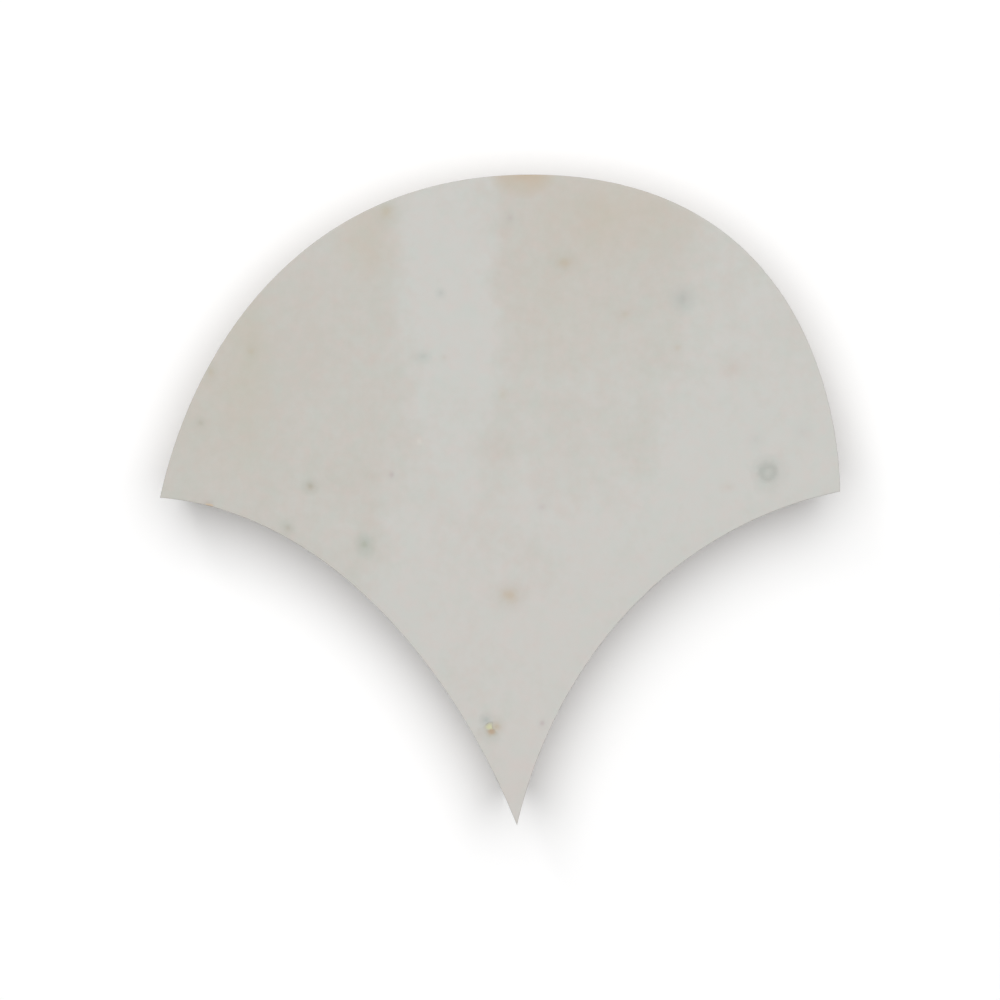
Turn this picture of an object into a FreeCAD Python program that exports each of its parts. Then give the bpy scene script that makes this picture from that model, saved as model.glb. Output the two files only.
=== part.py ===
import FreeCAD
import Part
import math
import os

# Fish scale tile: one scale cut by hand from a glazed terracotta slab, lying on its bed with the glaze up.
# Millimetres. The origin is under the middle of the tile, on the surface that its bed rests on.
# +X runs across the scale to the right, +Y from the tip to the crown, +Z out of the glazed face.

# Driving dimensions
WIDTH = 100.0             # left corner to right corner
HEIGHT = 95.7             # tip to crown
THICKNESS = 12.0          # bed to glazed face
LEFT_CORNER_RISE = 48.2   # left corner above the tip
RIGHT_CORNER_RISE = 49.1  # right corner above the tip: the cut is not quite even
CROWN_SHIFT = 4.5         # crown to the right of the middle
TIP_SHIFT = 2.5           # tip to the right of the middle
LAND = 3.0                # upper part of the cut edge, left square to the face
UNDERCUT = 2.0            # the bed's outline lies this far inside the face's outline
ARRIS = 0.3               # worn corner of the glaze round the face

# The outline runs clockwise through four points, seen from the face, with one curve from each point to the next.
# At each point, "ahead" is the heading in degrees of the curve that leaves it, and "behind" the heading back along
# the curve that arrives. A hold is the share of the distance between the two points over which the curve keeps
# that heading: the longer the hold, the fuller the curve.
LEFT_CORNER = {
    "at": (-WIDTH / 2, LEFT_CORNER_RISE - HEIGHT / 2),
    "ahead": 78.0, "ahead_hold": 0.26,
    "behind": -5.0, "behind_hold": 0.33,
}
CROWN = {
    "at": (CROWN_SHIFT, HEIGHT / 2),
    "ahead": 0.0, "ahead_hold": 0.69,
    "behind": 180.0, "behind_hold": 0.50,
}
RIGHT_CORNER = {
    "at": (WIDTH / 2, RIGHT_CORNER_RISE - HEIGHT / 2),
    "ahead": 192.0, "ahead_hold": 0.40,
    "behind": 90.0, "behind_hold": 0.05,
}
TIP = {
    "at": (TIP_SHIFT, -HEIGHT / 2),
    "ahead": 112.0, "ahead_hold": 0.38,
    "behind": 77.0, "behind_hold": 0.33,
}
OUTLINE_POINTS = [LEFT_CORNER, CROWN, RIGHT_CORNER, TIP]


def step(heading, length):
    """A move of the given length in the plane of the face."""
    angle = math.radians(heading)
    return FreeCAD.Vector(math.cos(angle), math.sin(angle), 0) * length


def inset_point(point, inset, height):
    """An outline point at a height, moved into the tile so that both its edges shift inwards by the inset."""
    opening = (point["ahead"] - point["behind"]) % 360
    inwards = point["ahead"] - opening / 2
    along = inset / math.sin(math.radians(opening / 2))
    return FreeCAD.Vector(*point["at"], height) + step(inwards, along)


def outline(inset, height):
    """The closed outline of the scale at a height above the bed, set in evenly all round."""
    edges = []
    for here, there in zip(OUTLINE_POINTS, OUTLINE_POINTS[1:] + OUTLINE_POINTS[:1]):
        start = inset_point(here, inset, height)
        end = inset_point(there, inset, height)
        span = start.distanceToPoint(end)
        curve = Part.BezierCurve()
        curve.setPoles([
            start,
            start + step(here["ahead"], here["ahead_hold"] * span),
            end + step(there["behind"], there["behind_hold"] * span),
            end,
        ])
        edges.append(curve.toShape())
    return Part.Wire(edges)


def fish_scale_tile():
    """The whole tile: chipped undercut up to the land, square land, and the worn corner of the glaze."""
    sections = [
        outline(UNDERCUT, 0),
        outline(0, THICKNESS - LAND),
        outline(0, THICKNESS - ARRIS),
        outline(ARRIS, THICKNESS),
    ]
    return Part.makeLoft(sections, True, True)


tile = fish_scale_tile()
box = tile.optimalBoundingBox()
print(f"tile {box.XLength:.2f} x {box.YLength:.2f} x {box.ZLength:.2f} mm,"
      f" {tile.Volume / 1000:.2f} cm3, {len(tile.Faces)} faces, valid {tile.isValid()}")

os.makedirs("parts", exist_ok=True)
tile.exportStep("parts/fish_scale_tile.step")
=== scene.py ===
# %% [markdown]
# # A fish scale tile
# One scale of glazed terracotta lies on white paper: a thick, slightly wavy, off-white glaze on a hand-cut
# slab, with a domed crown, two hollow flanks and a sharp tip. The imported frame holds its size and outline.
# This lesson rebuilds the slab as a fine mesh inside that frame and adds what the frame leaves out: the
# glaze, its blemishes, the chipped clay edge and a plain studio.

# %% Load the frame
import math
import bpy
import numpy as np
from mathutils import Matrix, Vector, geometry, kdtree


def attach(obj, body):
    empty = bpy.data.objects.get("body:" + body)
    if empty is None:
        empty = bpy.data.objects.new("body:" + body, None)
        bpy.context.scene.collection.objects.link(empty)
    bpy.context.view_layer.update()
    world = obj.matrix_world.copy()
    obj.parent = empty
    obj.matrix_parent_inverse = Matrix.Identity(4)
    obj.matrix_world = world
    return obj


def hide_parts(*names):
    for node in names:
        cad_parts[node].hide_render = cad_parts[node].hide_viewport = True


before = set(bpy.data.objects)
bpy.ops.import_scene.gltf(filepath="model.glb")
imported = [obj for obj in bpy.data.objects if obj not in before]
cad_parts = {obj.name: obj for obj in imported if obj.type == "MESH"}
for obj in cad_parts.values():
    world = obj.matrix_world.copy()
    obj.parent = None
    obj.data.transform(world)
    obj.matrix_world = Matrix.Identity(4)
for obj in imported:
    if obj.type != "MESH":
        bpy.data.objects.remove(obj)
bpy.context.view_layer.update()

MM = 0.001
TILE = "fish_scale_tile"

# %% [markdown]
# ## Helpers
# Colours are written as sRGB hex values, the way a colour picker shows them, but shaders work with linear
# light, so one function converts them. Node trees grow long when every setting is its own line, so one
# function adds a node, sets it and links it.

# %% Helpers for colours and nodes
def linear(hex_colour, alpha=1.0):
    """An sRGB hex colour as linear red, green and blue, with alpha."""
    srgb = [int(hex_colour[i:i + 2], 16) / 255 for i in (1, 3, 5)]
    return [c / 12.92 if c <= 0.04045 else ((c + 0.055) / 1.055) ** 2.4 for c in srgb] + [alpha]


def socket_of(sockets, key):
    """The socket with that name or place, among those that the node's settings leave in use."""
    in_use = [s for s in sockets if s.enabled]
    return in_use[key] if isinstance(key, int) else next(s for s in in_use if s.name == key)


def add(tree, kind, inputs=None, **settings):
    """Adds a node with its settings. An input takes a value, a socket, or a node for its first output."""
    node = tree.nodes.new(kind)
    for name, value in settings.items():
        setattr(node, name, value)
    for key, value in (inputs or {}).items():
        socket = socket_of(node.inputs, key)
        if isinstance(value, bpy.types.Node):
            value = socket_of(value.outputs, 0)
        if isinstance(value, bpy.types.NodeSocket):
            tree.links.new(value, socket)
        else:
            socket.default_value = value
    return node


print("mid grey #808080 is", [round(c, 3) for c in linear("#808080")], "in linear light")

# %% [markdown]
# ## The outline
# The scale is cut along four curves that join its left corner, crown, right corner and tip. Tracing hundreds
# of points would copy the frame's facets, so the curves are drawn again by the rule that the frame follows:
# each leaves a point with a heading, in degrees, and holds it for a share of the distance to the next point.
# The four points, the land at the top of the cut edge and the undercut below it are measured on the frame.

# %% Measure the frame
TOUCH = 0.01 * MM            # points this near a level or a side count as lying on it
cad_points = np.array([v.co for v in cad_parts[TILE].data.vertices])
FACE_LEVEL = cad_points[:, 2].max()
LAND_LEVEL = cad_points[cad_points[:, 0] < cad_points[:, 0].min() + TOUCH, 2].min()
LEFT_CORNER = cad_points[cad_points[:, 0].argmin(), :2]
CROWN = cad_points[cad_points[:, 1].argmax(), :2]
RIGHT_CORNER = cad_points[cad_points[:, 0].argmax(), :2]
TIP = cad_points[cad_points[:, 1].argmin(), :2]
UNDERCUT = CROWN[1] - cad_points[cad_points[:, 2] < TOUCH, 1].max()
print(f"land from {LAND_LEVEL / MM:.2f} to {FACE_LEVEL / MM:.2f} mm, undercut {UNDERCUT / MM:.2f} mm")

# %% Draw the outline
# Each point: its place, the heading and hold ahead of it, and the heading and hold behind it
OUTLINE_POINTS = [
    (LEFT_CORNER, 78, 0.26, -5, 0.33),
    (CROWN, 0, 0.69, 180, 0.50),
    (RIGHT_CORNER, 192, 0.40, 90, 0.05),
    (TIP, 112, 0.38, 77, 0.33),
]


def step(heading, length):
    """A move of that length in the plane of the face."""
    return np.array([math.cos(math.radians(heading)), math.sin(math.radians(heading))]) * length


def inset_point(point, inset):
    """An outline point moved into the tile so that both of its edges shift inwards by the inset."""
    place, ahead, _, behind, _ = point
    opening = (ahead - behind) % 360
    return place + step(ahead - opening / 2, inset / math.sin(math.radians(opening / 2)))


def outline_curves(inset):
    """The poles of the four cubic curves, set in evenly."""
    curves = []
    for here, there in zip(OUTLINE_POINTS, OUTLINE_POINTS[1:] + OUTLINE_POINTS[:1]):
        _, ahead, hold_ahead, _, _ = here
        _, _, _, behind, hold_behind = there
        start, end = inset_point(here, inset), inset_point(there, inset)
        span = np.linalg.norm(end - start)
        leaving, arriving = step(ahead, hold_ahead * span), step(behind, hold_behind * span)
        curves.append((start, start + leaving, end + arriving, end))
    return curves


def along_curve(poles, shares):
    """Points of a cubic curve at those shares of its run."""
    t = np.asarray(shares)[:, None]
    weights = ((1 - t) ** 3, 3 * (1 - t) ** 2 * t, 3 * (1 - t) * t ** 2, t ** 3)
    return sum(weight * pole for weight, pole in zip(weights, poles))


print(len(outline_curves(0)), "curves round the scale")

# %% Even points round the rim
RIM_SPACING = 0.45 * MM
CURVE_SAMPLES = 2001         # enough to measure the length of a curve


def even_shares(poles):
    """Shares of the run that lie about the rim's spacing apart, without the last end."""
    shares = np.linspace(0, 1, CURVE_SAMPLES)
    lengths = np.linalg.norm(np.diff(along_curve(poles, shares), axis=0), axis=1)
    run = np.concatenate([[0], np.cumsum(lengths)])
    count = round(run[-1] / RIM_SPACING)
    return np.interp(np.arange(count) * run[-1] / count, run, shares)


RIM_SHARES = [even_shares(poles) for poles in outline_curves(0)]


def ring(inset):
    """The closed outline, clockwise from the left corner, set in evenly."""
    return np.concatenate([along_curve(p, s) for p, s in zip(outline_curves(inset), RIM_SHARES)])


widest = ring(0)
RIM_COUNT = len(widest)
cad_rim = cad_points[abs(cad_points[:, 2] - LAND_LEVEL) < TOUCH, :2]
strays = [np.linalg.norm(widest - p, axis=1).min() for p in cad_rim]
print(f"{RIM_COUNT} points round the rim, the frame's rim lies within {max(strays) / MM:.2f} mm of them")

# %% [markdown]
# ## Blemishes in the glaze
# A wood or gas kiln leaves its marks on hand-glazed ware: specks of iron and copper that bleed into the
# white, ochre blooms, healed blisters and pinholes. Scattering them at random would give another tile, so
# they are placed one by one. Each kind has a colour for its centre, the ring round it and the halo outside,
# each with its strength, and a depth, because a speck sits in a little hollow that catches the light. Each
# blemish becomes one point that carries these facts, for the surface to look up.

# %% Kinds and places of the blemishes
# Kind: colour and strength of centre, ring and halo, then the depth of its hollow in mm
BLEMISH_KINDS = {
    "iron speck": (("#7E6424", 0.17), ("#7E6E3E", 0.09), ("#7E8A78", 0.15), 0.08),
    "copper speck": (("#667A38", 0.12), ("#6A8460", 0.07), ("#6A8C7E", 0.17), 0.07),
    "ochre bloom": (("#AC8220", 0.15), ("#AA8634", 0.11), ("#988A70", 0.13), 0.04),
    "burst pit": (("#D8DA86", 0.36), ("#A09444", 0.14), ("#77806F", 0.14), 0.20),
    "amber pool": (("#A8700C", 0.38), ("#96701E", 0.20), ("#77806F", 0.14), 0.12),
    "blister": (("#D2D4CE", 0.22), ("#6F7A70", 0.30), ("#6F7A70", 0.11), 0.10),
    "grey bloom": (("#6C8280", 0.10), ("#6C8280", 0.06), ("#6C8280", 0.12), 0.04),
    "purple speck": (("#946A7C", 0.13), ("#946A7C", 0.10), ("#8A7A78", 0.05), 0.02),
    "rose smudge": (("#B07F66", 0.06), ("#B07F66", 0.04), ("#B07F66", 0.05), 0.02),
    "pale speck": (("#FFF4E8", 0.12), ("#FFF4E8", 0.06), ("#FFF4E8", 0.03), -0.03),
}
# Blemish: x, y and radius in mm, width over height, strength, kind
BLEMISHES = [
    (-27.9, 2.0, 0.65, 1.0, 1.0, "iron speck"),
    (-31.2, -4.1, 0.70, 0.9, 0.7, "iron speck"),
    (-44.0, 11.3, 0.55, 1.0, 0.5, "iron speck"),
    (-19.9, -6.6, 0.95, 0.8, 1.0, "copper speck"),
    (-36.6, 21.8, 0.60, 1.0, 0.4, "ochre bloom"),
    (-42.6, 18.8, 0.80, 0.8, 0.5, "ochre bloom"),
    (1.4, -14.0, 1.25, 1.1, 1.0, "ochre bloom"),
    (9.4, 34.9, 0.90, 1.4, 0.75, "ochre bloom"),
    (-16.7, 42.4, 1.20, 1.0, 0.7, "ochre bloom"),
    (0.4, 15.5, 1.20, 0.7, 0.4, "ochre bloom"),
    (18.4, 27.3, 0.60, 1.2, 0.4, "ochre bloom"),
    (26.1, 22.4, 0.60, 1.0, 0.4, "ochre bloom"),
    (-1.5, -33.3, 0.95, 1.0, 1.0, "burst pit"),
    (-1.3, -34.0, 0.85, 1.2, 1.0, "amber pool"),
    (-2.0, -32.4, 0.60, 1.0, 1.3, "grey bloom"),
    (-0.6, -33.3, 0.75, 1.0, 1.1, "ochre bloom"),
    (39.4, 4.1, 1.50, 1.0, 0.95, "blister"),
    (26.9, 29.6, 1.10, 0.9, 1.0, "grey bloom"),
    (44.5, 10.0, 0.90, 1.0, 0.3, "grey bloom"),
    (37.5, 8.9, 0.80, 1.0, 0.3, "grey bloom"),
    (-11.4, 21.1, 0.50, 1.7, 0.6, "grey bloom"),
    (-8.7, 30.4, 0.45, 1.0, 0.7, "grey bloom"),
    (-15.9, 3.7, 0.60, 0.8, 0.9, "purple speck"),
    (6.2, -32.8, 0.45, 1.0, 1.0, "purple speck"),
    (6.1, -1.1, 0.70, 1.0, 0.5, "purple speck"),
    (1.5, 41.5, 0.60, 1.0, 0.6, "purple speck"),
    (-18.9, 3.5, 0.80, 1.3, 0.7, "rose smudge"),
    (34.5, 19.4, 1.20, 1.5, 0.95, "rose smudge"),
    (-8.2, 20.9, 0.45, 1.0, 0.9, "rose smudge"),
    (33.6, 1.9, 0.50, 1.4, 0.8, "rose smudge"),
    (-11.8, 8.6, 0.60, 1.0, 0.5, "pale speck"),
]
print(len(BLEMISHES), "blemishes of", len(BLEMISH_KINDS), "kinds")

# %% A point for each blemish
BLEMISH_TINTS = ("centre_tint", "ring_tint", "halo_tint")


def blemish_points():
    """A mesh of one point for each blemish, which carries its size, its hollow and its colours."""
    mesh = bpy.data.meshes.new("blemish_points")
    mesh.from_pydata([(x * MM, y * MM, FACE_LEVEL) for x, y, *_ in BLEMISHES], [], [])
    kinds = [BLEMISH_KINDS[kind] for *_, kind in BLEMISHES]
    strengths = [strength for *_, strength, _ in BLEMISHES]
    sizes = {
        "radius": [radius * MM for _, _, radius, *_ in BLEMISHES],
        "stretch": [stretch for _, _, _, stretch, *_ in BLEMISHES],
        "depth": [depth * strength * MM for (*_, depth), strength in zip(kinds, strengths)],
    }
    for name, values in sizes.items():
        mesh.attributes.new(name, "FLOAT", "POINT").data.foreach_set("value", values)
    for part, name in enumerate(BLEMISH_TINTS):
        tints = [(*kind[part], strength) for kind, strength in zip(kinds, strengths)]
        colours = [c for hue, amount, strength in tints for c in linear(hue, amount * strength)]
        mesh.attributes.new(name, "FLOAT_COLOR", "POINT").data.foreach_set("color", colours)
    return bpy.data.objects.new("blemish_points", mesh)


blemishes = blemish_points()
print("each point carries", [a.name for a in blemishes.data.attributes])

# %% [markdown]
# ## The slab
# The slab could stay the frame's own mesh with a bump map, but then the waves of the glaze, the hollows and
# the chipped edge would be painted on and would vanish in any view along the surface. So it becomes a mesh
# fine enough to be shaped: rings of points up the cut edge, and even triangles over the face and the bed,
# with closer points round each blemish.

# %% Rings up the cut edge
FOOT_ROUND = 0.4 * MM        # the lower edge is worn round
GLAZE_DEPTH = 0.7 * MM       # the glaze shows on the cut edge as a pale line this deep
LIP_ROUND = 0.10 * MM        # the hammer leaves the lip of the glaze nearly sharp
GLAZE_LEVEL = FACE_LEVEL - GLAZE_DEPTH
LIP_LEVEL = FACE_LEVEL - LIP_ROUND
FOOT_TURNS = np.radians([0, 35, 65, 90])     # how far round the foot each of its rings lies
LIP_TURNS = np.radians([30, 60, 90])         # and round the lip
LEAN_RINGS, LAND_RINGS = 18, 5               # rings up the leaning part of the edge, and up the land


def rounding(share):
    """How far a rounded edge lies in, as a share of its radius: none at 0, all of it at 1."""
    return 1 - math.sqrt(1 - min(max(share, 0), 1) ** 2)


def inset_at(level):
    """How far the cut edge lies inside the widest outline at a height above the bed."""
    lean = UNDERCUT * max(0, 1 - level / LAND_LEVEL)
    foot = FOOT_ROUND * rounding(1 - level / FOOT_ROUND)
    return lean + foot + LIP_ROUND * rounding((level - LIP_LEVEL) / LIP_ROUND)


EDGE_LEVELS = np.concatenate([
    FOOT_ROUND * (1 - np.cos(FOOT_TURNS)),
    np.linspace(FOOT_ROUND, LAND_LEVEL, LEAN_RINGS + 1)[1:],
    np.linspace(LAND_LEVEL, GLAZE_LEVEL, LAND_RINGS + 1)[1:],
    [LIP_LEVEL],
    LIP_LEVEL + LIP_ROUND * np.sin(LIP_TURNS),
])
edge_rings = [np.column_stack([ring(inset_at(z)), np.full(RIM_COUNT, z)]) for z in EDGE_LEVELS]
print(f"{len(edge_rings)} rings up the cut edge, inset {inset_at(0) / MM:.2f} mm at the bed")

# %% Even triangles over the face and the bed
FACE_SPACING = 0.5 * MM
BED_SPACING = 1.2 * MM
RIM_CLEARANCE = 0.4          # share of the spacing that the filling keeps off the rim
BLEMISH_REACH = 2.2          # radii of a blemish that get closer points
# Closer points: radius of each ring, as a share of the blemish's, and how many points it has
BLEMISH_RINGS = ((0.0, 1), (0.3, 8), (0.6, 12), (0.9, 16), (1.25, 18), (1.7, 20))
INSIDE_ONLY = 1              # the triangulation keeps what lies inside the outline
SAME_POINT = 1e-6            # mm, nearer points than this are one


def points_round_blemishes():
    """Closer points on and round each blemish."""
    turns = [(r, k * math.tau / count) for r, count in BLEMISH_RINGS for k in range(count)]
    return [(x * MM + size * MM * r * math.cos(a), y * MM + size * MM * r * math.sin(a))
            for x, y, size, *_ in BLEMISHES for r, a in turns]


def fill(rim, spacing, extra=()):
    """The points that fill an outline, its own first, their triangles, nearest rim points and distances."""
    low, high = rim.min(axis=0), rim.max(axis=0)
    rows = np.arange(low[1], high[1], spacing * math.sqrt(3) / 2)
    columns = np.arange(low[0], high[0], spacing)
    grid = np.array([(x + (k % 2) * spacing / 2, y) for k, y in enumerate(rows) for x in columns])
    if len(extra):
        for x, y, size, *_ in BLEMISHES:
            apart = np.hypot(grid[:, 0] - x * MM, grid[:, 1] - y * MM)
            grid = grid[apart > BLEMISH_REACH * size * MM]
        grid = np.concatenate([grid, extra])
    tree = kdtree.KDTree(len(rim))
    for i, p in enumerate(rim):
        tree.insert((*p, 0), i)
    tree.balance()
    clear = [tree.find((*p, 0))[2] > RIM_CLEARANCE * spacing for p in grid]
    points = np.concatenate([rim, grid[clear]])
    loop = [(i, (i + 1) % len(rim)) for i in range(len(rim))]
    in_mm = [Vector(p / MM) for p in points]
    triangles = np.array(geometry.delaunay_2d_cdt(in_mm, loop, [], INSIDE_ONLY, SAME_POINT)[2])
    used, triangles = np.unique(triangles, return_inverse=True)
    nearest = [tree.find((*p, 0)) for p in points[used]]
    rim_points, distances = [n[1] for n in nearest], np.array([n[2] for n in nearest])
    return points[used], triangles.reshape(-1, 3), rim_points, distances


closer = points_round_blemishes()
face_points, face_triangles, _, face_from_rim = fill(ring(LIP_ROUND), FACE_SPACING, closer)
bed_points, bed_triangles, bed_nearest, bed_from_rim = fill(edge_rings[0][:, :2], BED_SPACING)
print(len(face_triangles), "triangles on the face,", len(bed_triangles), "on the bed")

# %% One closed mesh
FOOT_GIVE = 8 * MM           # the bed gives way this far in where a strike takes a piece off its edge
CORNER_CARE = 12 * MM        # strikes grow lighter over this distance towards a sharp corner


def outward_pushes():
    """The level direction out of the cut edge: full on its rings, less at corners, fading over the bed."""
    along = np.roll(widest, -1, axis=0) - np.roll(widest, 1, axis=0)
    out = np.column_stack([-along[:, 1], along[:, 0], np.zeros(RIM_COUNT)])
    out /= np.linalg.norm(out, axis=1)[:, None]
    for corner in (LEFT_CORNER, RIGHT_CORNER, TIP):
        out *= np.clip(np.linalg.norm(widest - corner, axis=1) / CORNER_CARE, 0, 1)[:, None]
    still = np.zeros((len(face_points) - RIM_COUNT, 3))
    fading = np.clip(1 - bed_from_rim / FOOT_GIVE, 0, 1)[:, None] * out[bed_nearest]
    return np.concatenate([*[out] * len(edge_rings), still, fading[RIM_COUNT:]])


def slab_mesh():
    """The rings, the face and the bed as one mesh, with what the surface needs to know about each point."""
    count = len(edge_rings)
    inner_face = np.column_stack([face_points[RIM_COUNT:], np.full(len(face_points) - RIM_COUNT, FACE_LEVEL)])
    inner_bed = np.column_stack([bed_points[RIM_COUNT:], np.zeros(len(bed_points) - RIM_COUNT)])
    points = np.concatenate([*edge_rings, inner_face, inner_bed])
    first_face = RIM_COUNT * (count - 1)
    first_bed = RIM_COUNT * count + len(inner_face)
    to_face = face_triangles + first_face
    to_bed = np.where(bed_triangles < RIM_COUNT, bed_triangles, bed_triangles - RIM_COUNT + first_bed)
    here = np.arange(RIM_COUNT)
    onward = (here + 1) % RIM_COUNT
    bands = [np.column_stack([here + k, here + k + RIM_COUNT, onward + k + RIM_COUNT, onward + k])
             for k in RIM_COUNT * np.arange(count - 1)]
    faces = [*np.concatenate(bands).tolist(), *to_face.tolist(), *to_bed[:, ::-1].tolist()]
    mesh = bpy.data.meshes.new("glazed_scale")
    mesh.from_pydata(points, [], faces)
    from_rim = np.zeros(len(points))
    from_rim[first_face:first_face + len(face_points)] = face_from_rim
    mesh.attributes.new("from_rim", "FLOAT", "POINT").data.foreach_set("value", from_rim)
    pushes = outward_pushes().ravel()
    mesh.attributes.new("outward", "FLOAT_VECTOR", "POINT").data.foreach_set("vector", pushes)
    glazed_bands = np.repeat([z >= GLAZE_LEVEL - TOUCH for z in EDGE_LEVELS[:-1]], RIM_COUNT)
    glazed = np.concatenate([glazed_bands, np.ones(len(to_face)), np.zeros(len(to_bed))])
    mesh.attributes.new("glazed", "BOOLEAN", "FACE").data.foreach_set("value", glazed.astype(bool))
    return mesh


tile = bpy.data.objects.new("glazed_scale", slab_mesh())
bpy.context.scene.collection.objects.link(tile)
print("slab of", len(tile.data.vertices), "points and", len(tile.data.polygons), "faces")

# %% [markdown]
# ## Tin glaze
# The face is an opaque white tin glaze, poured over the fired slab and fired again: glossy glass full of
# fine white crystals. Where it lies thick it is a cool white, and where it is thin the warm clay tints it. A
# single off-white would look like plastic, so the colour follows the thickness of the pour, which the surface
# tree stores on the mesh, with soft mottling, faint runs down the face and fine freckles of rose and sage.
# The pale band left of the middle is a painted reflection of a window, laid in as the thickest pour.
# Washes of ochre, olive and rose and the blemishes come on top.

# %% Colour of the glaze
# the cool white of thick glaze, also the painted window reflection in the pale band left of the middle
THICK_GLAZE_AND_REFLECTION = "#C4C3BE"
GLAZE_THIN = "#BDB9B1"
OCHRE_WASH = "#BAA78E"
OLIVE_WASH = "#B3A98C"
ROSE_BLUSH = "#D0B6B0"
SAGE_BLUSH = "#B0C4BA"
COLOURS = {"data_type": "RGBA"}              # the setting of a mix of two colours
THINNEST = 0.10              # share of the full thickness where no pour lies
# Unevenness of the thickness: size along x, y and z in mm, detail and amount
UNEVENNESS = [
    ((15, 15, 15), 3, 0.28),     # soft mottling
    ((2.2, 26, 1), 2, 0.07),     # runs down the face
    ((1.4, 1.4, 1.4), 3, 0.25),  # grain
]
# Freckles: colour and size in mm, then the noise where they begin and are full, and how much they cover
FRECKLES = ((ROSE_BLUSH, 2.0), (SAGE_BLUSH, 2.6))
FRECKLE_START, FRECKLE_FULL, FRECKLE_COVER = 0.42, 0.75, 0.20
# Washes: x, y, half width and half height in mm, strength and colour
WASHES = [
    (17.5, 42.0, 15, 9, 0.55, OCHRE_WASH),
    (3.4, 48.6, 5.5, 4.5, 2.40, OCHRE_WASH),
    (9.0, 31.0, 12, 20, 0.18, OCHRE_WASH),
    (-19.5, 38.5, 6, 8, 0.60, OCHRE_WASH),
    (-37.0, 20.0, 4, 18, 0.30, OLIVE_WASH),
    (-41.0, 17.0, 10, 18, 0.25, OLIVE_WASH),
    (2.0, -16.0, 30, 30, 0.14, ROSE_BLUSH),
    (2.0, -42.0, 9, 13, 0.24, ROSE_BLUSH),
]
WASH_PATCH = 7               # mm, size of the uneven patches of a wash


def glaze_colour(tree, mm):
    """The glaze's colour, thin and warm to thick and cool, with its freckles, washes and a painted window
    reflection.
    """
    # the pour also carries the pale band, a painted reflection of a window
    pour = add(tree, "ShaderNodeAttribute", attribute_name="pour").outputs["Fac"]
    thickness_and_reflection = add(tree, "ShaderNodeMapRange", {"Value": pour, "To Min": THINNEST, "To Max": 1.0})
    for size, detail, amount in UNEVENNESS:
        scaled = add(tree, "ShaderNodeVectorMath", {0: mm, 1: size}, operation="DIVIDE")
        noise = add(tree, "ShaderNodeTexNoise", {"Vector": scaled, "Scale": 1.0, "Detail": detail},
                    normalize=False)
        thickness_and_reflection = add(tree, "ShaderNodeMath", {0: noise, 1: amount, 2: thickness_and_reflection}, operation="MULTIPLY_ADD")
    thin, thick_and_reflection = linear(GLAZE_THIN), linear(THICK_GLAZE_AND_REFLECTION)
    colour = add(tree, "ShaderNodeMix", {"Factor": thickness_and_reflection, "A": thin, "B": thick_and_reflection}, **COLOURS)
    for hue, size in FRECKLES:
        cloud = add(tree, "ShaderNodeTexNoise", {"Vector": mm, "Scale": 1 / size,
                                                 "Detail": 4, "Roughness": 0.6})
        cover = add(tree, "ShaderNodeMapRange", {"Value": cloud, "From Min": FRECKLE_START,
                                                 "From Max": FRECKLE_FULL, "To Max": FRECKLE_COVER})
        colour = add(tree, "ShaderNodeMix", {"Factor": cover, "A": colour, "B": linear(hue)}, **COLOURS)
    patches = add(tree, "ShaderNodeTexNoise", {"Vector": mm, "Scale": 1 / WASH_PATCH, "Detail": 4})
    for x, y, half_width, half_height, strength, hue in WASHES:
        local = add(tree, "ShaderNodeMapping", {"Vector": mm, "Location": (x, y, FACE_LEVEL / MM),
                                                "Scale": (half_width, half_height, 1)}, vector_type="TEXTURE")
        wash = add(tree, "ShaderNodeTexGradient", {"Vector": local}, gradient_type="SPHERICAL").outputs["Fac"]
        cover = add(tree, "ShaderNodeMath", {0: wash, 1: strength}, operation="MULTIPLY")
        cover = add(tree, "ShaderNodeMath", {0: cover, 1: patches}, operation="MULTIPLY")
        colour = add(tree, "ShaderNodeMix", {"Factor": cover, "A": colour, "B": linear(hue)}, **COLOURS)
    return colour


print("glaze from", GLAZE_THIN, "to", THICK_GLAZE_AND_REFLECTION, "with", len(WASHES), "washes")

# %% Blemishes, bare nicks and gloss
CLAY = "#CCBBA5"
# The parts of a blemish: where its tint is full and where it ends, in radii from the centre
TINT_REACH = (("halo_tint", 0.7, 2.8), ("ring_tint", 0.5, 1.35), ("centre_tint", 0.1, 0.8))
SMOOTH = {"interpolation_type": "SMOOTHSTEP"}  # the setting of a ramp that eases in and out
WOBBLE_SIZE = 0.9            # mm, size of the unevenness of a blemish's edge
WOBBLE = 0.18                # radii that it goes in and out
NICK_BARE = (0.50, 0.85)     # how deep a nick is where clay begins to show, and where it is bare
GLAZE_ROUGHNESS, NICK_ROUGHNESS = 0.16, 0.85
PEEL_SIZE, PEEL_HEIGHT = 1.2, 0.02           # mm, fine unevenness of the gloss
GLAZE_IOR = 1.55


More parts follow.
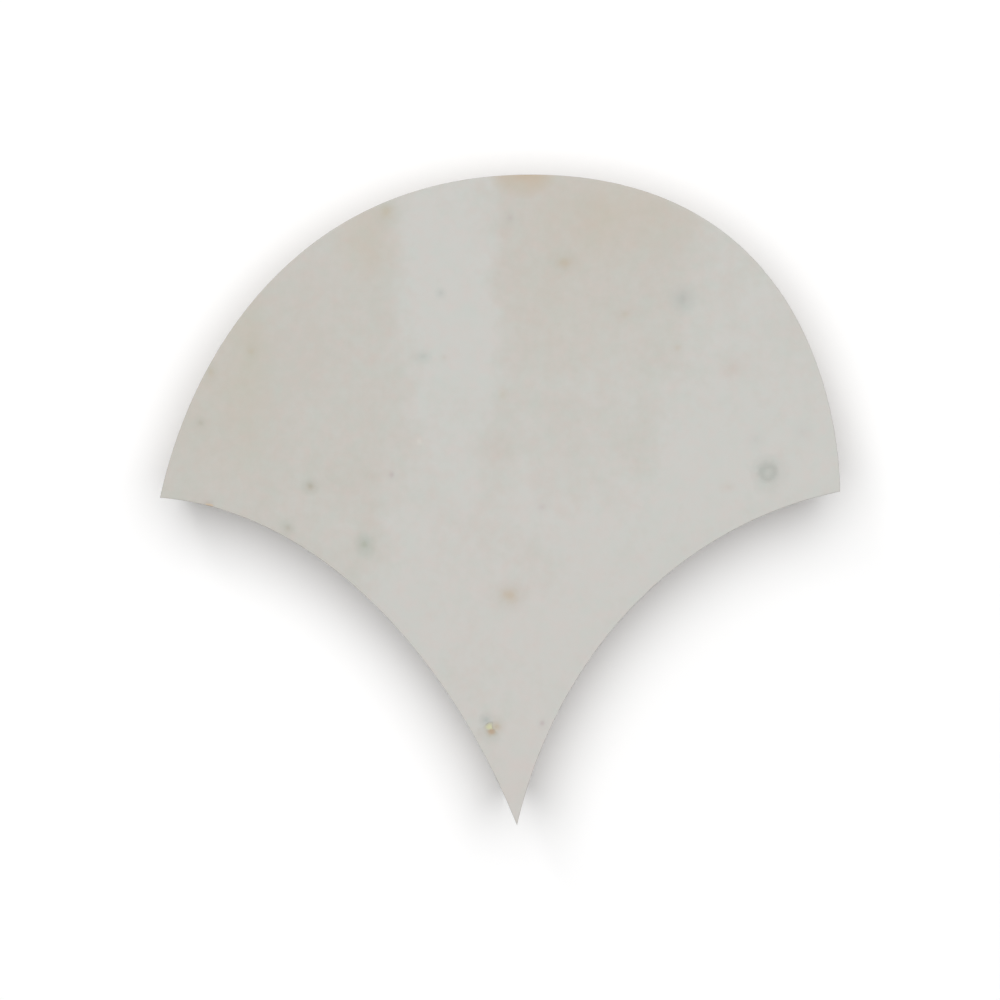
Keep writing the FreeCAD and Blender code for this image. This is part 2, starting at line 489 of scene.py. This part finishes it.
def tin_glaze():
    """Glossy opaque glaze with its blemishes and the clay that shows where the rim is nicked."""
    material = bpy.data.materials.new("tin_glaze")
    material.use_nodes = True
    tree = material.node_tree
    place = add(tree, "ShaderNodeTexCoord").outputs["Object"]
    mm = add(tree, "ShaderNodeVectorMath", {0: place, "Scale": 1 / MM}, operation="SCALE")
    colour = glaze_colour(tree, mm)
    wobble = add(tree, "ShaderNodeTexNoise", {"Vector": mm, "Scale": 1 / WOBBLE_SIZE, "Detail": 2},
                 normalize=False)
    distance = add(tree, "ShaderNodeAttribute", attribute_name="blemish").outputs["Fac"]
    ragged = add(tree, "ShaderNodeMath", {0: wobble, 1: WOBBLE, 2: distance}, operation="MULTIPLY_ADD")
    for name, full, end in TINT_REACH:
        tint = add(tree, "ShaderNodeAttribute", attribute_name=name).outputs
        cover = add(tree, "ShaderNodeMapRange", {"Value": ragged, "From Min": full, "From Max": end,
                                                 "To Min": tint["Alpha"], "To Max": 0.0}, **SMOOTH)
        colour = add(tree, "ShaderNodeMix", {"Factor": cover, "A": colour, "B": tint["Color"]}, **COLOURS)
    nick = add(tree, "ShaderNodeAttribute", attribute_name="nick").outputs["Fac"]
    start, full = NICK_BARE
    bare = add(tree, "ShaderNodeMapRange", {"Value": nick, "From Min": start, "From Max": full})
    colour = add(tree, "ShaderNodeMix", {"Factor": bare, "A": colour, "B": linear(CLAY)}, **COLOURS)
    gloss = add(tree, "ShaderNodeMapRange", {"Value": bare, "To Min": GLAZE_ROUGHNESS,
                                             "To Max": NICK_ROUGHNESS})
    peel = add(tree, "ShaderNodeTexNoise", {"Vector": mm, "Scale": 1 / PEEL_SIZE, "Detail": 3})
    skin = add(tree, "ShaderNodeBump", {"Height": peel, "Strength": 0.35, "Distance": PEEL_HEIGHT * MM})
    shader = tree.nodes["Principled BSDF"]
    shader.inputs["IOR"].default_value = GLAZE_IOR
    for name, node in (("Base Color", colour), ("Roughness", gloss), ("Normal", skin)):
        tree.links.new(socket_of(node.outputs, 0), shader.inputs[name])
    return material


glaze = tin_glaze()
print("glaze has", len(glaze.node_tree.nodes), "nodes")

# %% [markdown]
# ## Fired clay
# The cut edge and the bed are bare terracotta: pale, sandy and dull, because the clay is low-fired and
# porous. It is cloudy in tone and darker between its grains of sand. Its pores are painted dark in a grit
# brown, a painted shade in each hollow. All of it comes from the object's own coordinates, with grain sizes
# in millimetres.

# %% Material of the bare clay
CLAY_DARK = "#AE9A83"
CLAY_PALE = "#E0D4C4"
# the dark of the pores: a painted shade in each pore, in a grit brown
PORE_SHADE = "#927F69"
CLOUD_SIZE, LUMP_SIZE, GRAIN_SIZE = 6, 1.6, 0.32   # mm
PORE_SPACING = 1.3           # mm
PORE_WAVER = 0.7             # mm that the lumps push a pore out of round
PORE_RADIUS = 0.32           # of the largest pores, as a share of the spacing
PORE_SLOPE = 0.12            # share of the spacing over which a pore darkens
CLAY_ROUGHNESS = 0.92


def fired_clay():
    """Dull, sandy terracotta with cloudy colour, and pores that hold a painted shade in grit brown."""
    material = bpy.data.materials.new("fired_terracotta")
    material.use_nodes = True
    tree = material.node_tree
    place = add(tree, "ShaderNodeTexCoord").outputs["Object"]
    mm = add(tree, "ShaderNodeVectorMath", {0: place, "Scale": 1 / MM}, operation="SCALE")
    clouds, grain, lumps = [
        add(tree, "ShaderNodeTexNoise", {"Vector": mm, "Scale": 1 / size, "Detail": detail,
                                         "Roughness": rough})
        for size, detail, rough in ((CLOUD_SIZE, 5, 0.65), (GRAIN_SIZE, 2, 0.7), (LUMP_SIZE, 4, 0.65))]
    uneven = add(tree, "ShaderNodeVectorMath", {0: lumps.outputs["Color"], 1: [PORE_WAVER] * 3, 2: mm},
                 operation="MULTIPLY_ADD")
    pores = add(tree, "ShaderNodeTexVoronoi", {"Vector": uneven, "Scale": 1 / PORE_SPACING}).outputs
    radius = add(tree, "ShaderNodeMapRange", {"Value": pores["Color"], "From Min": 0.5, "From Max": 0.9,
                                              "To Max": PORE_RADIUS})
    tone = add(tree, "ShaderNodeMapRange", {"Value": clouds, "From Min": 0.35, "From Max": 0.65})
    plain, pale = linear(CLAY), linear(CLAY_PALE)
    colour = add(tree, "ShaderNodeMix", {"Factor": tone, "A": plain, "B": pale}, **COLOURS)
    sand = add(tree, "ShaderNodeMapRange", {"Value": grain, "From Min": 0.62, "From Max": 0.38,
                                            "To Max": 0.7})
    colour = add(tree, "ShaderNodeMix", {"Factor": sand, "A": colour, "B": linear(CLAY_DARK)}, **COLOURS)
    depth = add(tree, "ShaderNodeMath", {0: radius, 1: pores["Distance"]}, operation="SUBTRACT")
    # the pores are painted dark, a painted shade in their hollows
    pore_shade = add(tree, "ShaderNodeMapRange", {"Value": depth, "From Max": PORE_SLOPE, "To Max": 0.85})
    colour = add(tree, "ShaderNodeMix", {"Factor": pore_shade, "A": colour, "B": linear(PORE_SHADE)}, **COLOURS)
    rough = add(tree, "ShaderNodeMath", {0: lumps, 1: 2.0, 2: grain}, operation="MULTIPLY_ADD")
    sunk = add(tree, "ShaderNodeMath", {0: rough, 1: pore_shade}, operation="SUBTRACT")
    skin = add(tree, "ShaderNodeBump", {"Height": sunk, "Strength": 0.8, "Distance": 0.2 * MM})
    shader = tree.nodes["Principled BSDF"]
    shader.inputs["Roughness"].default_value = CLAY_ROUGHNESS
    for name, node in (("Base Color", colour), ("Normal", skin)):
        tree.links.new(socket_of(node.outputs, 0), shader.inputs[name])
    return material


clay = fired_clay()
print("clay has", len(clay.node_tree.nodes), "nodes")

# %% [markdown]
# ## The fired surface, as a node tree
# Everything that gives the slab its relief follows a rule over the surface: slow waves and ripples in the
# glaze, the thicker pour, the fall towards the rim, a hollow at each blemish, nicks in the rim, the scoops
# that the hammer left down the cut edge and the rough bed. One Geometry Nodes tree holds these rules, with a
# named input for each size, and stores on the mesh what the glaze needs to know.

# %% Random waves and cells
SEED = 7.0
SEED_SHIFT = 0.1             # m that each seed moves the random points


def waves(tree, place, length, height, seed, detail=0.0):
    """Random waves up and down, of that length and height."""
    scaled = add(tree, "ShaderNodeVectorMath", {0: place, 1: length}, operation="DIVIDE")
    noise = add(tree, "ShaderNodeTexNoise", {"Vector": scaled, "W": SEED + seed, "Scale": 1.0,
                                             "Detail": detail}, noise_dimensions="4D", normalize=False)
    return add(tree, "ShaderNodeMath", {0: noise, 1: height}, operation="MULTIPLY")


def cells(tree, place, size, seed, blend=0.0):
    """Distance from the nearest of many random points about that size apart, and its random colour."""
    shift = [(SEED + seed) * SEED_SHIFT] * 3
    moved = add(tree, "ShaderNodeVectorMath", {0: place, 1: shift}, operation="ADD")
    scaled = add(tree, "ShaderNodeVectorMath", {0: moved, 1: size}, operation="DIVIDE")
    return add(tree, "ShaderNodeTexVoronoi", {"Vector": scaled, "Scale": 1.0, "Smoothness": blend},
               feature="SMOOTH_F1").outputs


print("random patterns start from seed", SEED)

# %% [markdown]
# ### Pours, and a painted reflection
# The glaze went on in overlapping sheets, so it lies thicker in bands with soft sides. The pale band left of
# the middle is no pour but a painted reflection of a window, laid in as the thickest pour. A painted mask
# could hold the bands, but each has only a few straight sides. So a pour is a product of smooth ramps, and at
# each point the thickest pour counts.

# %% Thickness of the pours
# Pours: share of the full thickness, then each edge's axis, place and softness in mm, and whether it rises
POUR_BANDS_AND_REFLECTION = [
    # the pale band left of the middle: a painted reflection of a window, laid in as a full pour
    (1.00, (("X", -14.8, 8.0, True), ("X", -0.4, 6.5, False), ("Y", -1.0, 22.0, True))),
    (0.95, (("X", -19.5, 10.0, True), ("Y", 6.0, 32.0, False))),
    (0.95, (("X", 26.5, 11.0, True), ("Y", 35.0, 20.0, False))),
    (0.55, (("X", 27.0, 9.0, True),)),
    (1.00, (("X", 12.0, 24.0, True), ("Y", 20.0, 28.0, False))),
    (0.30, (("X", -33.0, 6.0, True), ("X", -21.0, 3.0, False), ("Y", 4.0, 30.0, False))),
    (0.15, (("X", -33.0, 6.0, True),)),
]


def pours_with_reflection(tree, place, drift):
    """How thick the pour lies, from 0 to 1, with the painted window reflection as the first pour. Soft edges
    drift more than crisp ones.
    """
    axes = add(tree, "ShaderNodeSeparateXYZ", {0: place}).outputs
    thickest = 0.0
    for share, edges in POUR_BANDS_AND_REFLECTION:
        layer = share
        for axis, at, softness, rises in edges:
            moved = add(tree, "ShaderNodeMath", {0: drift, 1: softness, 2: axes[axis]},
                        operation="MULTIPLY_ADD")
            ends = (at - softness / 2) * MM, (at + softness / 2) * MM
            low, high = ends if rises else ends[::-1]
            side = add(tree, "ShaderNodeMapRange", {"Value": moved, "From Min": low, "From Max": high},
                       **SMOOTH)
            layer = add(tree, "ShaderNodeMath", {0: layer, 1: side}, operation="MULTIPLY")
        thickest = add(tree, "ShaderNodeMath", {0: thickest, 1: layer}, operation="MAXIMUM")
    return thickest


print(len(POUR_BANDS_AND_REFLECTION), "pours overlap on the face")

# %% [markdown]
# ### Looking up a blemish
# Every blemish tints the glaze and sits in a hollow of its own. A set of nodes for each would make a huge
# tree, so each point of the face looks up the nearest blemish once, and a new blemish is only one more line
# in the list.

# %% What the nearest blemish says
BLEMISH_FACTS = {"position": "FLOAT_VECTOR", "radius": "FLOAT", "stretch": "FLOAT", "depth": "FLOAT",
                 **{name: "FLOAT_COLOR" for name in BLEMISH_TINTS}}


def nearest_blemish(tree, points, place):
    """The facts of the blemish nearest to a place, and the distance from its centre in radii."""
    nearest = add(tree, "GeometryNodeSampleNearest", {"Geometry": points, "Sample Position": place},
                  domain="POINT")
    facts = {}
    for name, kind in BLEMISH_FACTS.items():
        value = add(tree, "GeometryNodeInputNamedAttribute", {"Name": name}, data_type=kind)
        sample = {"Geometry": points, "Value": value, "Index": nearest}
        facts[name] = add(tree, "GeometryNodeSampleIndex", sample, data_type=kind, domain="POINT")
    apart = add(tree, "ShaderNodeVectorMath", {0: place, 1: facts["position"]}, operation="SUBTRACT")
    squeeze = add(tree, "ShaderNodeCombineXYZ", {"X": facts["stretch"], "Y": 1.0, "Z": 1.0})
    round_form = add(tree, "ShaderNodeVectorMath", {0: apart, 1: squeeze}, operation="DIVIDE")
    distance = add(tree, "ShaderNodeVectorMath", {0: round_form}, operation="LENGTH")
    facts["distance"] = add(tree, "ShaderNodeMath", {0: distance, 1: facts["radius"]}, operation="DIVIDE")
    return facts


print("each blemish tells", ", ".join(BLEMISH_FACTS))

# %% [markdown]
# ### Relief
# Fired glaze is never flat: it runs in slow waves, thins towards the rim and sinks at each pit. The cut edge
# is what the hammer left, overlapping scoops with small chips and a sandy grain, and the bed is rough from
# the ground that it dried on. Sculpting would give one such surface. Random waves and cells give it by rule,
# from a few sizes that can be changed.

# %% Relief of the face and its rim
HOLLOW_REACH = 1.25          # radii of a blemish that its hollow takes in
NICK_CORE = (0.18, 0.08)     # shares of the nicks' spacing: where a nick begins, and where it is full
NICK_BAND = (0.7 * MM, 0.1 * MM)             # distances from the rim where it begins, and where it is full
NICK_DROP = 1.0 * MM         # a nick fades out this far below the glaze


def face_relief(tree, given, place, height, pour, blemish):
    """How far the glaze stands above or below the flat face."""
    rise = waves(tree, place, given["Wave Length"], given["Wave Height"], seed=0)
    ripples = waves(tree, place, given["Ripple Length"], given["Ripple Height"], seed=1)
    rise = add(tree, "ShaderNodeMath", {0: rise, 1: ripples}, operation="ADD")
    rise = add(tree, "ShaderNodeMath", {0: pour, 1: given["Pour Height"], 2: rise}, operation="MULTIPLY_ADD")
    from_rim = add(tree, "GeometryNodeInputNamedAttribute", {"Name": "from_rim"}, data_type="FLOAT")
    near_rim = add(tree, "ShaderNodeMapRange", {"Value": from_rim, "From Min": given["Rim Width"],
                                                "From Max": 0.0}, **SMOOTH)
    fall = add(tree, "ShaderNodeMath", {0: near_rim, 1: given["Rim Fall"]}, operation="MULTIPLY")
    hollow = add(tree, "ShaderNodeMapRange", {"Value": blemish["distance"], "From Min": HOLLOW_REACH,
                                              "From Max": 0.0}, **SMOOTH)
    fall = add(tree, "ShaderNodeMath", {0: hollow, 1: blemish["depth"], 2: fall}, operation="MULTIPLY_ADD")
    relief = add(tree, "ShaderNodeMath", {0: rise, 1: fall}, operation="SUBTRACT")
    on_face = add(tree, "ShaderNodeMapRange", {"Value": height, "From Min": LAND_LEVEL,
                                               "From Max": LIP_LEVEL}, **SMOOTH)
    return add(tree, "ShaderNodeMath", {0: relief, 1: on_face}, operation="MULTIPLY")


def rim_nicks(tree, given, place, height):
    """1 where the glaze is nicked at the rim, and 0 elsewhere."""
    from_rim = add(tree, "GeometryNodeInputNamedAttribute", {"Name": "from_rim"}, data_type="FLOAT")
    apart = cells(tree, place, given["Nick Spacing"], seed=11)["Distance"]
    limits = ((apart, NICK_CORE), (from_rim, NICK_BAND), (height, (GLAZE_LEVEL - NICK_DROP, GLAZE_LEVEL)))
    mask = 1.0
    for value, (start, full) in limits:
        limit = add(tree, "ShaderNodeMapRange", {"Value": value, "From Min": start, "From Max": full},
                    **SMOOTH)
        mask = add(tree, "ShaderNodeMath", {0: mask, 1: limit}, operation="MULTIPLY")
    return mask


print("a blemish's hollow takes in", HOLLOW_REACH, "radii, and nicks stay within", NICK_BAND[0] / MM, "mm")

# %% Relief of the cut edge and the bed
# Strikes: what they leave, the squash of its pattern, which makes scoops tall, its blend and its seed
STRIKES = [("Scoop", (1, 1, 0.45), 0.12, 3), ("Chip", (1, 1, 1), 0.0, 8)]
STRIKE_END = 0.6             # squared distance, in sizes of the pattern, where a strike's hollow ends
LIGHTEST, HARDEST = 0.2, 1.4                 # force of the strikes
GLAZE_HOLD = 1.5 * MM        # the glaze keeps the clay whole, and this far below it strikes are full
BED_FACING = (-0.5, -0.95)   # how far down the surface faces where the bed begins, and where it is full


def edge_relief(tree, given, place, height):
    """How far the cut edge stands out: grain, less the scoops and small chips that the hammer took."""
    rough = waves(tree, place, given["Grain Size"], given["Grain Height"], seed=4, detail=2.0)
    for name, squash, blend, seed in STRIKES:
        where = add(tree, "ShaderNodeVectorMath", {0: place, 1: squash}, operation="MULTIPLY")
        strike = cells(tree, where, given[name + " Width"], seed, blend)
        curve = add(tree, "ShaderNodeMath", {0: strike["Distance"], 1: 2.0}, operation="POWER")
        hollow = add(tree, "ShaderNodeMapRange", {"Value": curve, "From Max": STRIKE_END,
                                                  "To Min": given[name + " Depth"], "To Max": 0.0})
        force = add(tree, "ShaderNodeMapRange", {"Value": strike["Color"], "To Min": LIGHTEST,
                                                 "To Max": HARDEST})
        lost = add(tree, "ShaderNodeMath", {0: hollow, 1: force}, operation="MULTIPLY")
        rough = add(tree, "ShaderNodeMath", {0: rough, 1: lost}, operation="SUBTRACT")
    below_glaze = add(tree, "ShaderNodeMapRange", {"Value": height, "From Min": GLAZE_LEVEL,
                                                   "From Max": GLAZE_LEVEL - GLAZE_HOLD}, **SMOOTH)
    return add(tree, "ShaderNodeMath", {0: rough, 1: below_glaze}, operation="MULTIPLY")


def bed_relief(tree, given, place, facing):
    """How far the rough bed lies above the floor. It rises only, so the tile rests on its lowest points."""
    lumps = waves(tree, place, given["Bed Lump"], given["Bed Relief"], seed=5, detail=3.0)
    lumps = add(tree, "ShaderNodeMath", {0: lumps, 1: 0.0}, operation="MAXIMUM")
    start, full = BED_FACING
    on_bed = add(tree, "ShaderNodeMapRange", {"Value": facing, "From Min": start, "From Max": full}, **SMOOTH)
    return add(tree, "ShaderNodeMath", {0: lumps, 1: on_bed}, operation="MULTIPLY")


print("the cut edge has", " and ".join(name.lower() + "s" for name, *_ in STRIKES))

# %% Put the reliefs together
RELIEF_SIZES = {
    "Wave Height": 0.24 * MM, "Wave Length": 24 * MM,
    "Ripple Height": 0.05 * MM, "Ripple Length": 5.5 * MM,
    "Pour Height": 0.06 * MM, "Pour Drift": 0.8 * MM, "Drift Length": 12 * MM,
    "Rim Fall": 0.08 * MM, "Rim Width": 2.0 * MM,
    "Nick Depth": 0.25 * MM, "Nick Spacing": 5.0 * MM,
    "Scoop Depth": 1.4 * MM, "Scoop Width": 6.5 * MM,
    "Chip Depth": 0.55 * MM, "Chip Width": 2.2 * MM,
    "Grain Height": 0.14 * MM, "Grain Size": 1.0 * MM,
    "Lip Waver": 0.5 * MM, "Lip Length": 4.0 * MM,
    "Bed Relief": 0.30 * MM, "Bed Lump": 8.0 * MM,
}
LIP_BAND = 0.9 * MM          # the lower line of the glaze wavers, and the clay follows it this far down
NICK_INWARD = 0.5            # share of its depth that a nick also goes into the edge


def surface_offset(tree, given, place, height, pour, blemish, nick):
    """How far each point moves: up or down, and into or out of the cut edge."""
    facing = add(tree, "ShaderNodeSeparateXYZ", {0: add(tree, "GeometryNodeInputNormal")}).outputs["Z"]
    lip = waves(tree, place, given["Lip Length"], given["Lip Waver"], seed=7, detail=1.0)
    for side in (GLAZE_LEVEL - LIP_BAND, LIP_LEVEL):
        near_line = add(tree, "ShaderNodeMapRange", {"Value": height, "From Min": side,
                                                     "From Max": GLAZE_LEVEL}, **SMOOTH)
        lip = add(tree, "ShaderNodeMath", {0: lip, 1: near_line}, operation="MULTIPLY")
    lift = face_relief(tree, given, place, height, pour, blemish)
    for part in (bed_relief(tree, given, place, facing), lip):
        lift = add(tree, "ShaderNodeMath", {0: lift, 1: part}, operation="ADD")
    lost = add(tree, "ShaderNodeMath", {0: nick, 1: given["Nick Depth"]}, operation="MULTIPLY")
    lift = add(tree, "ShaderNodeMath", {0: lift, 1: lost}, operation="SUBTRACT")
    edge = edge_relief(tree, given, place, height)
    shift = add(tree, "ShaderNodeMath", {0: lost, 1: -NICK_INWARD, 2: edge}, operation="MULTIPLY_ADD")
    outward = add(tree, "GeometryNodeInputNamedAttribute", {"Name": "outward"}, data_type="FLOAT_VECTOR")
    push = add(tree, "ShaderNodeVectorMath", {0: outward, "Scale": shift}, operation="SCALE")
    raised = add(tree, "ShaderNodeCombineXYZ", {"Z": lift})
    return add(tree, "ShaderNodeVectorMath", {0: push, 1: raised}, operation="ADD")


print(len(RELIEF_SIZES), "sizes set the relief")

# %% Build the tree
SHARP_ANGLE = math.radians(32)


def finished(tree, given, shaped):
    """Smooth shading with sharp edges, then plain geometry with a material for each side."""
    shaped = add(tree, "GeometryNodeSetShadeSmooth", {"Geometry": shaped, "Shade Smooth": True},
                 domain="FACE")
    angle = add(tree, "GeometryNodeInputMeshEdgeAngle").outputs["Unsigned Angle"]
    sharp = add(tree, "FunctionNodeCompare", {"A": angle, "B": SHARP_ANGLE}, operation="GREATER_THAN")
    shaped = add(tree, "GeometryNodeSetShadeSmooth", {"Geometry": shaped, "Selection": sharp,
                                                      "Shade Smooth": False}, domain="EDGE")
    shaped = add(tree, "GeometryNodeRealizeInstances", {"Geometry": shaped})
    shaped = add(tree, "GeometryNodeSetMaterial", {"Geometry": shaped, "Material": given["Clay"]})
    glazed = add(tree, "GeometryNodeInputNamedAttribute", {"Name": "glazed"}, data_type="BOOLEAN")
    return add(tree, "GeometryNodeSetMaterial", {"Geometry": shaped, "Selection": glazed,
                                                 "Material": given["Glaze"]})


def fired_surface():
    """The tree that stores what the glaze reads, shapes the slab and gives each side its material."""
    tree = bpy.data.node_groups.new("Fired surface", "GeometryNodeTree")
    tree.interface.new_socket("Geometry", in_out="OUTPUT", socket_type="NodeSocketGeometry")
    sockets = {"Geometry": "Geometry", "Blemishes": "Object", "Glaze": "Material", "Clay": "Material",
               **{name: "Float" for name in RELIEF_SIZES}}
    for name, kind in sockets.items():
        tree.interface.new_socket(name, in_out="INPUT", socket_type="NodeSocket" + kind)
    given = add(tree, "NodeGroupInput").outputs
    place = add(tree, "GeometryNodeInputPosition")
    height = add(tree, "ShaderNodeSeparateXYZ", {0: place}).outputs["Z"]
    points = add(tree, "GeometryNodeObjectInfo", {"Object": given["Blemishes"]}).outputs["Geometry"]
    blemish = nearest_blemish(tree, points, place)
    drift = waves(tree, place, given["Drift Length"], given["Pour Drift"], seed=6, detail=3.0)
    pour = pours_with_reflection(tree, place, drift)
    nick = rim_nicks(tree, given, place, height)
    offset = surface_offset(tree, given, place, height, pour, blemish, nick)
    # the pour holds the pale band too, a painted reflection of a window
    stored = {"pour": pour, "blemish": blemish["distance"], "nick": nick,
              **{tint: blemish[tint] for tint in BLEMISH_TINTS}}
    shaped = given["Geometry"]
    for name, value in stored.items():
        kind = "FLOAT_COLOR" if name in BLEMISH_TINTS else "FLOAT"
        store = {"Geometry": shaped, "Name": name, "Value": value}
        shaped = add(tree, "GeometryNodeStoreNamedAttribute", store, data_type=kind, domain="POINT")
    shaped = add(tree, "GeometryNodeSetPosition", {"Geometry": shaped, "Offset": offset})
    add(tree, "NodeGroupOutput", {"Geometry": finished(tree, given, shaped)})
    return tree


surface = fired_surface()
print("the tree has", len(surface.nodes), "nodes and", len(RELIEF_SIZES), "sizes")

# %% [markdown]
# ## From tree to mesh
# A live modifier would be worked out again in every view and would be lost in some exports. So the tree runs
# once, and its result becomes the slab's own plain mesh, with the materials and what was stored for them.

# %% Shape the slab and make it a plain mesh
FACING_UP = 0.7              # points whose normal rises more than this count as the face's


def shape(piece, tree, values):
    """Runs the tree on a piece with those inputs, and keeps the result as the piece's own mesh."""
    modifier = piece.modifiers.new(tree.name, "NODES")
    modifier.node_group = tree
    for socket in tree.interface.items_tree:
        if socket.name in values:
            modifier[socket.identifier] = values[socket.name]
    graph = bpy.context.evaluated_depsgraph_get()
    evaluated = piece.evaluated_get(graph)
    mesh = bpy.data.meshes.new_from_object(evaluated, preserve_all_data_layers=True, depsgraph=graph)
    piece.modifiers.clear()
    piece.data = mesh


shape(tile, surface, {"Blemishes": blemishes, "Glaze": glaze, "Clay": clay, **RELIEF_SIZES})
bpy.data.objects.remove(blemishes)
heights = np.array([v.co.z for v in tile.data.vertices if v.normal.z > FACING_UP]) / MM
print(f"the face lies between {heights.min():.2f} and {heights.max():.2f} mm, materials:",
      [m.name for m in tile.data.materials])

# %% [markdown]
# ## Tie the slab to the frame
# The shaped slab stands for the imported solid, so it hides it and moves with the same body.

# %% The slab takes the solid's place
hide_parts(TILE)
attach(tile, "root")
print(tile.name, "stands for", TILE)

# %% [markdown]
# ## Studio
# The scale lies on white paper under one wide round softbox, which hangs above it and a little towards the
# crown. Such a light gives a short, soft shadow all round the slab, deepest below the flanks. A small lamp
# would draw a hard edge, and an even sky alone a wide, weak shadow. A dim sky fills in. The paper shows white
# but throws little light back, because its glow on the pale edge would wash the shadow out.
# Glossy glaze in a plain white room would look dull from the side, so a slim window stands beyond the crown:
# it adds little light, but its reflection bends over the waves of the face. Together the three light a level
# surface at about 1, so that paper is white and every colour renders about as it is written.

# %% Floor
FLOOR_HALF = 4.0             # m
FLOOR_GAP = 0.05 * MM        # keeps the paper just clear of the bed
FLOOR_GREY = 0.35            # share of the light that the paper throws back


def rays_that_see(tree):
    """1 for the rays that show the background itself: to the eye, in a reflection or through glass."""
    path = add(tree, "ShaderNodeLightPath").outputs
    seen = path["Is Camera Ray"]
    for ray in ("Is Glossy Ray", "Is Transmission Ray"):
        seen = add(tree, "ShaderNodeMath", {0: seen, 1: path[ray]}, operation="MAXIMUM")
    return seen


def paper_floor():
    """A wide sheet just under the bed: white to the eye, but grey in the light that it throws back."""
    corners = [(x * FLOOR_HALF, y * FLOOR_HALF, -FLOOR_GAP) for x, y in ((-1, -1), (1, -1), (1, 1), (-1, 1))]
    mesh = bpy.data.meshes.new("floor")
    mesh.from_pydata(corners, [], [(0, 1, 2, 3)])
    material = bpy.data.materials.new("white_paper")
    material.use_nodes = True
    tree = material.node_tree
    seen = rays_that_see(tree)
    paper = add(tree, "ShaderNodeMapRange", {"Value": seen, "To Min": FLOOR_GREY, "To Max": 1.0})
    shader = tree.nodes["Principled BSDF"]
    tree.links.new(paper.outputs["Result"], shader.inputs["Base Color"])
    shader.inputs["Roughness"].default_value = 1.0
    shader.inputs["Specular IOR Level"].default_value = 0.0
    mesh.materials.append(material)
    floor = bpy.data.objects.new("floor", mesh)
    bpy.context.scene.collection.objects.link(floor)
    return floor


paper_floor()
print("floor of", 2 * FLOOR_HALF, "m")

# %% Light
# Shares of the light on the paper, and sizes and places in metres
SKY_SHARE = 0.10
SOFTBOX_SHARE = 0.89
SOFTBOX_HEIGHT = 2.4
SOFTBOX_SHIFT = 0.72
SOFTBOX_RADIUS = 2.1
WINDOW_SHARE = 0.04
WINDOW_AT = Vector((-1.1, 1.75, 1.5))
WINDOW_SIZE = (0.45, 1.0)


def sky():
    """An even white sky: its share of the light for the scene, but plain white to the eye."""
    world = bpy.data.worlds.new("studio_sky")
    bpy.context.scene.world = world
    world.use_nodes = True
    tree = world.node_tree
    seen = rays_that_see(tree)
    strength = add(tree, "ShaderNodeMapRange", {"Value": seen, "To Min": SKY_SHARE, "To Max": 1.0})
    background = tree.nodes["Background"]
    background.inputs["Color"].default_value = (1, 1, 1, 1)
    tree.links.new(strength.outputs["Result"], background.inputs["Strength"])


def softbox():
    """A round softbox that faces straight down. Its power gives the paper under it its share of the light."""
    light = bpy.data.lights.new("softbox", "AREA")
    light.shape = "DISK"
    light.size = 2 * SOFTBOX_RADIUS
    apart, radius = SOFTBOX_HEIGHT ** 2 + SOFTBOX_SHIFT ** 2, SOFTBOX_RADIUS ** 2
    # How much of the light a disc of that size and place gives, if a sky of its brightness gave 1
    reach = (1 - (apart - radius) / math.sqrt((apart + radius) ** 2 - 4 * radius * SOFTBOX_SHIFT ** 2)) / 2
    light.energy = SOFTBOX_SHARE / reach * math.pi ** 2 * radius
    lamp = bpy.data.objects.new("softbox", light)
    lamp.location = (0, SOFTBOX_SHIFT, SOFTBOX_HEIGHT)
    lamp.visible_glossy = False      # the glaze mirrors the sky and the window instead
    bpy.context.scene.collection.objects.link(lamp)
    return light.energy


def window():
    """A slim window beyond the crown. It adds little light, but its reflection shows the glaze's waves."""
    light = bpy.data.lights.new("window", "AREA")
    light.shape = "RECTANGLE"
    light.size, light.size_y = WINDOW_SIZE
    # Its share on a level surface falls with the square of the distance and with the slant of the light
    light.energy = WINDOW_SHARE * math.pi ** 2 * WINDOW_AT.length ** 3 / WINDOW_AT.z
    lamp = bpy.data.objects.new("window", light)
    lamp.location = WINDOW_AT
    lamp.rotation_euler = WINDOW_AT.to_track_quat("Z", "Y").to_euler()
    bpy.context.scene.collection.objects.link(lamp)
    return light.energy


sky()
print(f"softbox of {softbox():.1f} W and window of {window():.1f} W")

# %% [markdown]
# ## Camera
# The picture looks straight down on the face, so the outline shows without perspective on its sides. A long
# lens from half a metre keeps the undercut edge out of sight, as it is when the tile is set.

# %% Look straight down
LENS = 120                   # mm, and so is the sensor's width
SENSOR = 36
FRAME_WIDTH = 147 * MM


def camera_above():
    """A camera over the middle of the tile, with the frame's width measured on the face."""
    camera = bpy.data.objects.new("camera", bpy.data.cameras.new("camera"))
    camera.data.lens = LENS
    camera.data.sensor_width = SENSOR
    camera.location = (0, 0, FACE_LEVEL + FRAME_WIDTH * LENS / SENSOR)
    bpy.context.scene.collection.objects.link(camera)
    bpy.context.scene.camera = camera
    return camera


print("camera at", [round(c, 3) for c in camera_above().location], "m")

# %% [markdown]
# ## Finish
# The view stays at Standard so that written colours are rendered colours.

# %% Standard view
bpy.context.scene.view_settings.view_transform = "Standard"
